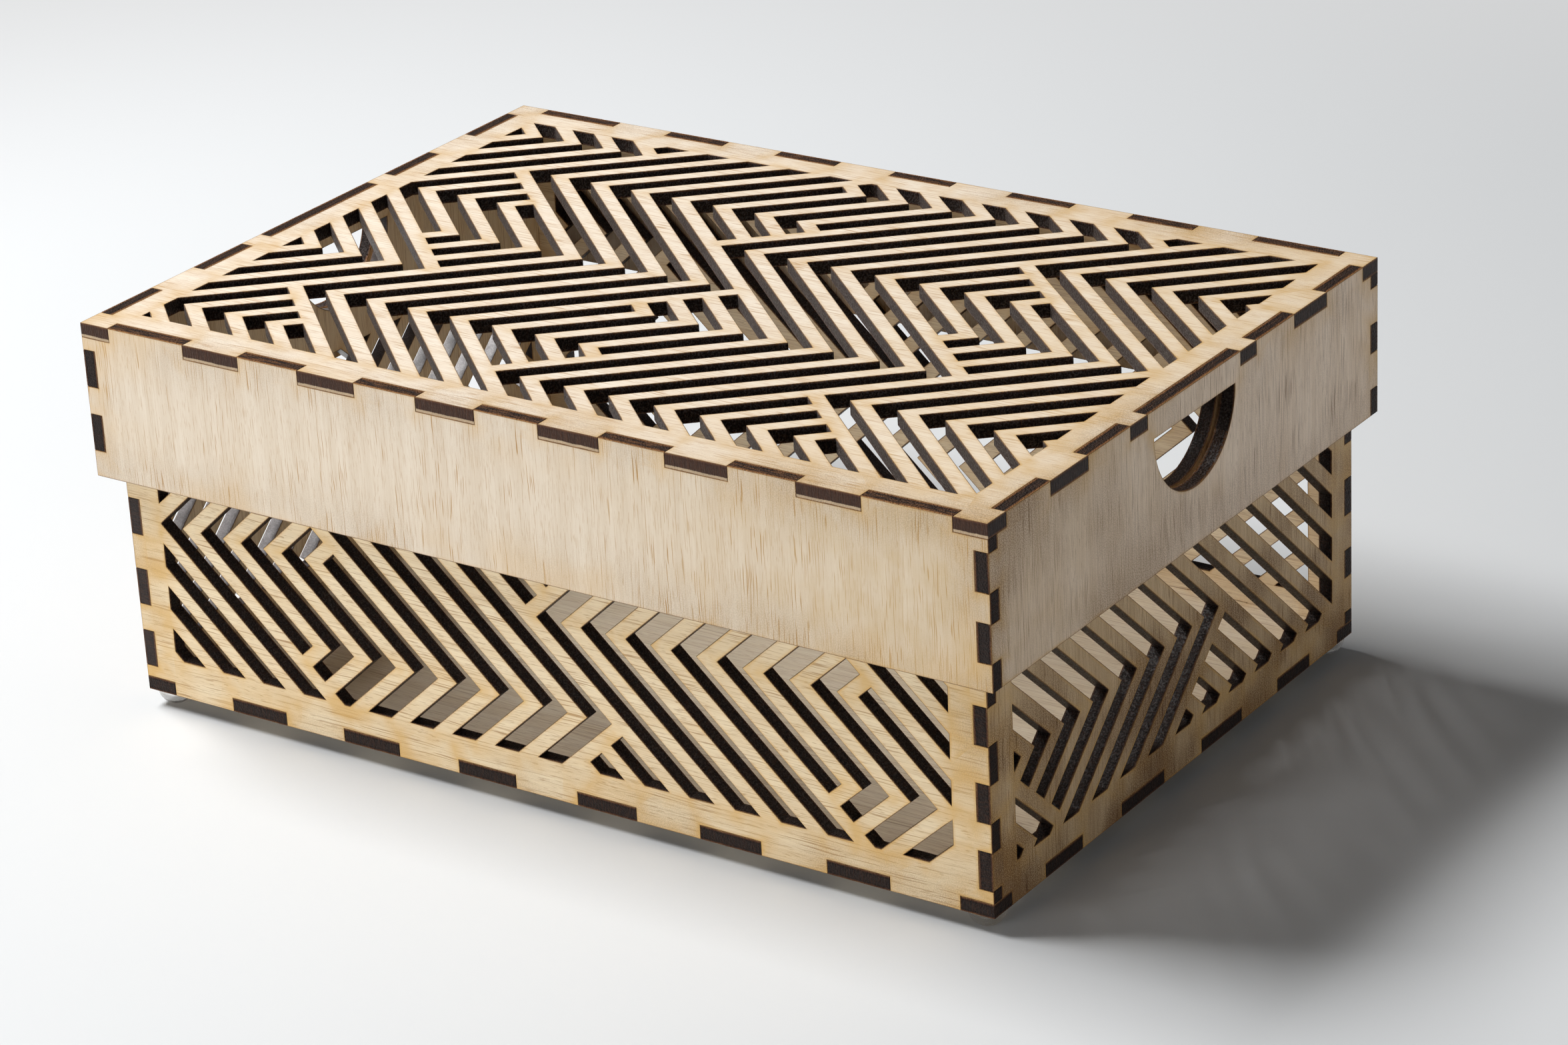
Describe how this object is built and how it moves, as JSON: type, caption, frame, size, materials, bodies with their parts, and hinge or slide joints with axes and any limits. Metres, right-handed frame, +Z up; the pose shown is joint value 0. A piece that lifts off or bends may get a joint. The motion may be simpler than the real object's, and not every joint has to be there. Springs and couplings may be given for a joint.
{
  "type": "plywood storage box",
  "caption": "Laser-cut plywood storage box with finger-jointed panels, zigzag fretwork windows, dome feet and a lift-off lid with finger holes.",
  "frame": {"origin": "on the table under the middle of the box, at the bottom of the feet", "axes": "+X along the long sides to the right of the front, front facing -Y, +Z up"},
  "size_m": [0.352, 0.244, 0.1415],
  "materials": {
    "plywood": "raw pale veneer with scorched laser-cut edges",
    "clear_foot": "clear soft dome"
  },
  "bodies": {
    "box": {"floor_panel": "plywood", "front_wall": "plywood", "rear_wall": "plywood", "right_wall": "plywood", "left_wall": "plywood", "foot_front_left": "clear_foot", "foot_front_right": "clear_foot", "foot_rear_left": "clear_foot", "foot_rear_right": "clear_foot"},
    "lid": {"lid_top": "plywood", "lid_front_skirt": "plywood", "lid_rear_skirt": "plywood", "lid_right_skirt": "plywood", "lid_left_skirt": "plywood"}
  },
  "joints": [
    {"name": "lid_lift", "type": "slide", "parent": "box", "child": "lid", "axis": [0, 0, 1], "range_m": [0, 0.12]}
  ]
}
